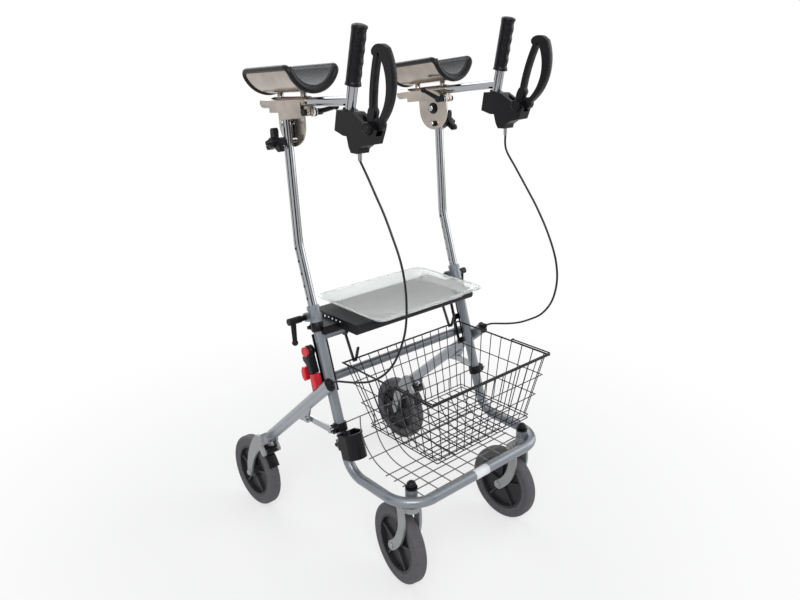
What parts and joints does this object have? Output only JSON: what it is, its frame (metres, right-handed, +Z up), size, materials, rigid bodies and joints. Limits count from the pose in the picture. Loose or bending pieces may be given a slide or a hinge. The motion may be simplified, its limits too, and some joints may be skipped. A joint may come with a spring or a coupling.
{
  "type": "upright walker with forearm supports",
  "caption": "Folding wheeled walker with padded forearm troughs on height-adjustable stems, brake levers, seat tray, wire basket and cane cup.",
  "frame": {"origin": "on the floor, under the middle of the walker's outline", "axes": "+Z up; the user walks towards -Y; +X is the user's left"},
  "size_m": [0.6, 0.7355, 1.2863],
  "materials": {
    "frame_paint": "satin silver-grey paint",
    "leg_metal": "satin anodised profile",
    "chrome": "polished plating",
    "cast_metal": "satin casting",
    "dark_metal": "dark grey satin paint",
    "black_plastic": "semi-gloss black moulding",
    "seat_plastic": "dark matt moulding",
    "black_wire": "black powder coat",
    "rack_wire": "grey coated wire",
    "pad": "soft moulded foam skin",
    "hub_plastic": "dark matt moulding",
    "tyre": "grey solid rubber",
    "red_plastic": "glossy red moulding",
    "clear_plastic": "clear glossy moulding",
    "cable": "black cable sheath"
  },
  "bodies": {
    "front_frame": {"front_frame_tube": "frame_paint", "seat_crossbar": "frame_paint", "caster_caps": "black_plastic", "height_collars": "frame_paint", "fold_guides": "black_plastic", "link_bushes": "black_plastic", "wire_rack": "rack_wire", "cane_cup": "black_plastic", "seat_clamps": "black_plastic", "basket_hooks": "black_wire", "seat_panel": "seat_plastic", "brake_cable_right": "cable", "brake_cable_left": "cable"},
    "fold_links": {"fold_links": "chrome"},
    "rear_frame": {"rear_legs": "leg_metal", "rear_crossbar": "dark_metal", "rear_forks": "cast_metal", "leg_caps": "black_plastic", "latch_body": "black_plastic"},
    "latch_lever": {"latch_lever": "red_plastic"},
    "latch_button": {"latch_button": "red_plastic"},
    "tray": {"tray": "clear_plastic"},
    "basket": {"basket_floor": "black_wire", "basket_walls": "black_wire"},
    "basket_bail": {"basket_bail": "black_wire"},
    "stem_right": {"stem_right": "chrome"},
    "arm_right": {"arm_bracket_right": "chrome", "trough_shell_right": "chrome", "trough_pad_right": "pad"},
    "handle_right": {"handle_bar_right": "chrome", "grip_right": "black_plastic", "brake_housing_right": "black_plastic"},
    "brake_lever_right": {"brake_lever_right": "black_plastic"},
    "bar_clamp_lever_right": {"bar_clamp_lever_right": "black_plastic"},
    "tilt_knob_right": {"tilt_knob_right": "black_plastic"},
    "height_lever_right": {"height_lever_right": "black_plastic"},
    "caster_fork_right": {"caster_fork_right": "cast_metal"},
    "front_wheel_right": {"front_hub_right": "hub_plastic", "front_tyre_right": "tyre"},
    "rear_wheel_right": {"rear_hub_right": "hub_plastic", "rear_tyre_right": "tyre"},
    "brake_shoe_right": {"brake_shoe_right": "black_plastic"},
    "stem_left": {"stem_left": "chrome"},
    "arm_left": {"arm_bracket_left": "chrome", "trough_shell_left": "chrome", "trough_pad_left": "pad"},
    "handle_left": {"handle_bar_left": "chrome", "grip_left": "black_plastic", "brake_housing_left": "black_plastic"},
    "brake_lever_left": {"brake_lever_left": "black_plastic"},
    "bar_clamp_lever_left": {"bar_clamp_lever_left": "black_plastic"},
    "tilt_knob_left": {"tilt_knob_left": "black_plastic"},
    "height_lever_left": {"height_lever_left": "black_plastic"},
    "caster_fork_left": {"caster_fork_left": "cast_metal"},
    "front_wheel_left": {"front_hub_left": "hub_plastic", "front_tyre_left": "tyre"},
    "rear_wheel_left": {"rear_hub_left": "hub_plastic", "rear_tyre_left": "tyre"},
    "brake_shoe_left": {"brake_shoe_left": "black_plastic"}
  },
  "joints": [
    {"name": "fold", "type": "hinge", "parent": "front_frame", "child": "fold_links", "pos_m": [0, -0.08969, 0.37], "axis": [1, 0, 0], "range_deg": [0, 64], "deforming": ["brake_cable_right", "brake_cable_left"]},
    {"name": "leg_turn", "type": "hinge", "parent": "fold_links", "child": "rear_frame", "pos_m": [0, 0.00241, 0.36617], "axis": [1, 0, 0], "range_deg": [-107, 1]},
    {"name": "latch_swing", "type": "hinge", "parent": "rear_frame", "child": "latch_lever", "pos_m": [-0.262, -0.00455, 0.53028], "axis": [1, 0, 0], "range_deg": [0, 25], "stiffness_Nm_per_rad": 0.05},
    {"name": "latch_press", "type": "slide", "parent": "rear_frame", "child": "latch_button", "axis": [1, 0, 0], "range_m": [0, 0.003], "stiffness_N_per_m": 400, "springref_m": -0.001},
    {"name": "tray_lift", "type": "slide", "parent": "front_frame", "child": "tray", "axis": [0, 0, 1], "range_m": [0, 0.06]},
    {"name": "basket_lift", "type": "slide", "parent": "front_frame", "child": "basket", "axis": [0, 0, 1], "range_m": [0, 0.025]},
    {"name": "bail_swing", "type": "hinge", "parent": "basket", "child": "basket_bail", "pos_m": [0, -0.25, 0.5205], "axis": [-1, 0, 0], "range_deg": [0, 90]},
    {"name": "height_right", "type": "slide", "parent": "front_frame", "child": "stem_right", "axis": [0, 0.3007, 0.9537], "range_m": [-0.12, 0.12], "deforming": ["brake_cable_right"]},
    {"name": "tilt_right", "type": "hinge", "parent": "stem_right", "child": "arm_right", "pos_m": [-0.236, 0.06165, 1.031], "axis": [-1, 0, 0], "range_deg": [-19, 19], "deforming": ["brake_cable_right"]},
    {"name": "reach_right", "type": "slide", "parent": "arm_right", "child": "handle_right", "axis": [0, -0.9976, 0.0698], "range_m": [-0.04, 0.06], "deforming": ["brake_cable_right"]},
    {"name": "brake_pull_right", "type": "hinge", "parent": "handle_right", "child": "brake_lever_right", "pos_m": [-0.215, -0.21329, 1.07937], "axis": [-1, 0, 0], "range_deg": [0, 12], "stiffness_Nm_per_rad": 3, "springref_deg": -5.73},
    {"name": "bar_clamp_turn_right", "type": "hinge", "parent": "arm_right", "child": "bar_clamp_lever_right", "pos_m": [-0.215, 0.00797, 1.0949], "axis": [1, 0, 0], "range_deg": [0, 90]},
    {"name": "tilt_knob_turn_right", "type": "hinge", "parent": "stem_right", "child": "tilt_knob_right", "pos_m": [-0.236, 0.06165, 1.031], "axis": [-1, 0, 0], "continuous": true},
    {"name": "height_lever_turn_right", "type": "hinge", "parent": "front_frame", "child": "height_lever_right", "pos_m": [-0.236, 0.01524, 0.62297], "axis": [1, 0, 0], "range_deg": [0, 80]},
    {"name": "caster_swivel_right", "type": "hinge", "parent": "front_frame", "child": "caster_fork_right", "pos_m": [-0.195, -0.296, 0.25], "axis": [0, 0, 1], "continuous": true},
    {"name": "front_roll_right", "type": "hinge", "parent": "caster_fork_right", "child": "front_wheel_right", "pos_m": [-0.18597, -0.24479, 0.1], "axis": [0.9848, -0.1736, 0], "continuous": true},
    {"name": "rear_roll_right", "type": "hinge", "parent": "rear_frame", "child": "rear_wheel_right", "pos_m": [-0.27, 0.266, 0.1], "axis": [1, 0, 0], "continuous": true},
    {"name": "shoe_turn_right", "type": "hinge", "parent": "rear_frame", "child": "brake_shoe_right", "pos_m": [-0.27, 0.18443, 0.19603], "axis": [1, 0, 0], "range_deg": [0, 2.4]},
    {"name": "height_left", "type": "slide", "parent": "front_frame", "child": "stem_left", "axis": [0, 0.3007, 0.9537], "range_m": [-0.12, 0.12], "deforming": ["brake_cable_left"]},
    {"name": "tilt_left", "type": "hinge", "parent": "stem_left", "child": "arm_left", "pos_m": [0.236, 0.06165, 1.031], "axis": [-1, 0, 0], "range_deg": [-22, 16], "deforming": ["brake_cable_left"]},
    {"name": "reach_left", "type": "slide", "parent": "arm_left", "child": "handle_left", "axis": [0, -0.9925, 0.1219], "range_m": [-0.058, 0.042], "deforming": ["brake_cable_left"]},
    {"name": "brake_pull_left", "type": "hinge", "parent": "handle_left", "child": "brake_lever_left", "pos_m": [0.215, -0.22824, 1.09589], "axis": [-1, 0, 0], "range_deg": [0, 24], "stiffness_Nm_per_rad": 3, "springref_deg": -5.73},
    {"name": "bar_clamp_turn_left", "type": "hinge", "parent": "arm_left", "child": "bar_clamp_lever_left", "pos_m": [0.215, 0.01139, 1.09762], "axis": [-1, 0, 0], "range_deg": [0, 90]},
    {"name": "tilt_knob_turn_left", "type": "hinge", "parent": "stem_left", "child": "tilt_knob_left", "pos_m": [0.236, 0.06165, 1.031], "axis": [1, 0, 0], "continuous": true},
    {"name": "height_lever_turn_left", "type": "hinge", "parent": "front_frame", "child": "height_lever_left", "pos_m": [0.236, 0.01524, 0.62297], "axis": [1, 0, 0], "range_deg": [0, 80]},
    {"name": "caster_swivel_left", "type": "hinge", "parent": "front_frame", "child": "caster_fork_left", "pos_m": [0.195, -0.296, 0.25], "axis": [0, 0, 1], "continuous": true},
    {"name": "front_roll_left", "type": "hinge", "parent": "caster_fork_left", "child": "front_wheel_left", "pos_m": [0.195, -0.244, 0.1], "axis": [1, 0, 0], "continuous": true},
    {"name": "rear_roll_left", "type": "hinge", "parent": "rear_frame", "child": "rear_wheel_left", "pos_m": [0.27, 0.266, 0.1], "axis": [1, 0, 0], "continuous": true},
    {"name": "shoe_turn_left", "type": "hinge", "parent": "rear_frame", "child": "brake_shoe_left", "pos_m": [0.27, 0.18443, 0.19603], "axis": [1, 0, 0], "range_deg": [0, 2.4]}
  ],
  "couplings": [
    {"joint": "leg_turn", "follows": "fold", "ratio": -1.66},
    {"joint": "shoe_turn_right", "follows": "brake_pull_right", "ratio": 0.2},
    {"joint": "shoe_turn_left", "follows": "brake_pull_left", "ratio": 0.1}
  ]
}
